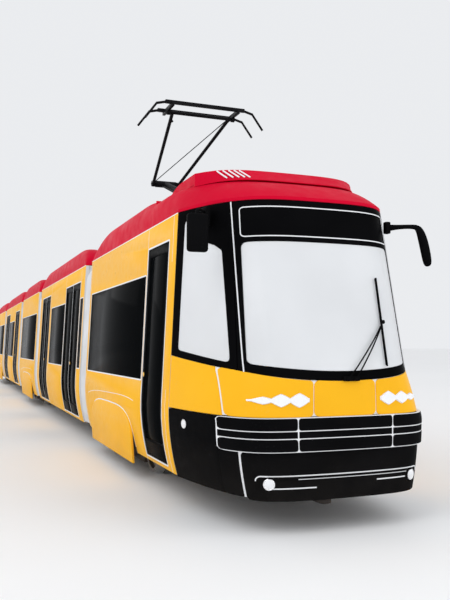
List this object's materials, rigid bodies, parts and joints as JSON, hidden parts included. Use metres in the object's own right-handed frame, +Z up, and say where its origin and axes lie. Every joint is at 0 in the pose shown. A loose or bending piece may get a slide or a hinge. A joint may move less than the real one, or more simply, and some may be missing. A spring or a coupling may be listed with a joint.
{
  "type": "articulated tram",
  "caption": "Low-floor articulated tram with hinged body sections, bellows, bogies with turning wheelsets, glazed cab and a folding pantograph.",
  "frame": {"origin": "centre of the footprint at rail level, where the wheel flanges' lowest points lie", "axes": "+X forward along the tram, +Y to its left, +Z up"},
  "size_m": [30.16, 2.5484, 4.8249],
  "materials": {
    "body_yellow": "gloss enamel",
    "roof_red": "gloss enamel",
    "tinted_glass": "dark tinted safety glass",
    "door_black": "black gloss frames with dark glass",
    "frame_black": "gloss",
    "clear_glass": "clear laminated glass",
    "bumper_black": "satin",
    "lamp_clear": "clear lens",
    "lamp_red": "red lens",
    "fitting_black": "satin",
    "interior_grey": "matte",
    "seat_fabric": "woven",
    "bogie_steel": "matt frame paint",
    "wheel_steel": "rolled steel",
    "bellows_grey": "coated fabric folds",
    "pantograph_steel": "satin"
  },
  "bodies": {
    "front_section": {"front_body_shell": "body_yellow", "front_roof_covers": "roof_red", "front_windows": "tinted_glass", "front_door": "door_black", "cab_front_panel": "body_yellow", "windscreen_frame": "frame_black", "cab_glass": "clear_glass", "destination_display": "frame_black", "front_bumper": "bumper_black", "front_valance": "bumper_black", "headlamps": "lamp_clear", "mirrors": "fitting_black", "wiper": "fitting_black", "driver_desk": "interior_grey", "cab_bulkhead": "interior_grey", "front_seats": "seat_fabric", "front_bogie_covers": "body_yellow", "front_bogie_frame": "bogie_steel", "pantograph_base": "pantograph_steel", "bellows_front": "bellows_grey"},
    "second_section": {"second_body_shell": "body_yellow", "second_roof_covers": "roof_red", "second_windows": "tinted_glass", "second_doors": "door_black", "second_seats": "seat_fabric", "bellows_second": "bellows_grey"},
    "middle_section": {"middle_body_shell": "body_yellow", "middle_roof_covers": "roof_red", "middle_windows": "tinted_glass", "middle_seats": "seat_fabric", "middle_bogie_covers": "body_yellow", "middle_bogie_frame": "bogie_steel"},
    "fourth_section": {"fourth_body_shell": "body_yellow", "fourth_roof_covers": "roof_red", "fourth_windows": "tinted_glass", "fourth_doors": "door_black", "fourth_seats": "seat_fabric", "bellows_fourth": "bellows_grey"},
    "rear_section": {"rear_body_shell": "body_yellow", "rear_roof_covers": "roof_red", "rear_windows": "tinted_glass", "rear_door": "door_black", "rear_end_panel": "body_yellow", "rear_glass": "clear_glass", "rear_bumper": "bumper_black", "tail_lamps": "lamp_red", "rear_seats": "seat_fabric", "rear_bogie_covers": "body_yellow", "rear_bogie_frame": "bogie_steel", "bellows_rear": "bellows_grey"},
    "wheelset_1": {"wheelset_1": "wheel_steel"},
    "wheelset_2": {"wheelset_2": "wheel_steel"},
    "wheelset_3": {"wheelset_3": "wheel_steel"},
    "wheelset_4": {"wheelset_4": "wheel_steel"},
    "wheelset_5": {"wheelset_5": "wheel_steel"},
    "wheelset_6": {"wheelset_6": "wheel_steel"},
    "pantograph_lower_arm": {"pantograph_lower_arm": "pantograph_steel"},
    "pantograph_upper_arm": {"pantograph_upper_arm": "pantograph_steel"},
    "pantograph_head": {"pantograph_head": "pantograph_steel"}
  },
  "joints": [
    {"name": "second_turn", "type": "hinge", "parent": "middle_section", "child": "second_section", "pos_m": [2.2875, 0, 0.285], "axis": [0, 0, 1], "range_deg": [-17, 17], "deforming": ["bellows_second"]},
    {"name": "front_turn", "type": "hinge", "parent": "second_section", "child": "front_section", "pos_m": [8.8125, 0, 0.285], "axis": [0, 0, 1], "range_deg": [-17, 17], "deforming": ["bellows_front"]},
    {"name": "fourth_turn", "type": "hinge", "parent": "middle_section", "child": "fourth_section", "pos_m": [-2.2875, 0, 0.285], "axis": [0, 0, 1], "range_deg": [-17, 17], "deforming": ["bellows_fourth"]},
    {"name": "rear_turn", "type": "hinge", "parent": "fourth_section", "child": "rear_section", "pos_m": [-8.8125, 0, 0.285], "axis": [0, 0, 1], "range_deg": [-17, 17], "deforming": ["bellows_rear"]},
    {"name": "wheelset_1_spin", "type": "hinge", "parent": "front_section", "child": "wheelset_1", "pos_m": [11.75, 0, 0.315], "axis": [0, 1, 0], "continuous": true},
    {"name": "wheelset_2_spin", "type": "hinge", "parent": "front_section", "child": "wheelset_2", "pos_m": [9.95, 0, 0.315], "axis": [0, 1, 0], "continuous": true},
    {"name": "wheelset_3_spin", "type": "hinge", "parent": "middle_section", "child": "wheelset_3", "pos_m": [0.9, 0, 0.315], "axis": [0, 1, 0], "continuous": true},
    {"name": "wheelset_4_spin", "type": "hinge", "parent": "middle_section", "child": "wheelset_4", "pos_m": [-0.9, 0, 0.315], "axis": [0, 1, 0], "continuous": true},
    {"name": "wheelset_5_spin", "type": "hinge", "parent": "rear_section", "child": "wheelset_5", "pos_m": [-9.95, 0, 0.315], "axis": [0, 1, 0], "continuous": true},
    {"name": "wheelset_6_spin", "type": "hinge", "parent": "rear_section", "child": "wheelset_6", "pos_m": [-11.75, 0, 0.315], "axis": [0, 1, 0], "continuous": true},
    {"name": "pantograph_raise", "type": "hinge", "parent": "front_section", "child": "pantograph_lower_arm", "pos_m": [11.22, 0, 3.525], "axis": [0, 1, 0], "range_deg": [-16, 28]},
    {"name": "pantograph_knuckle", "type": "hinge", "parent": "pantograph_lower_arm", "child": "pantograph_upper_arm", "pos_m": [9.5, 0, 4.125], "axis": [0, 1, 0], "range_deg": [-56, 32]},
    {"name": "pantograph_head_pivot", "type": "hinge", "parent": "pantograph_upper_arm", "child": "pantograph_head", "pos_m": [11.22, 0, 4.725], "axis": [0, 1, 0], "range_deg": [-16, 28]}
  ],
  "couplings": [
    {"joint": "pantograph_knuckle", "follows": "pantograph_raise", "ratio": -2},
    {"joint": "pantograph_head_pivot", "follows": "pantograph_raise", "ratio": 1}
  ]
}
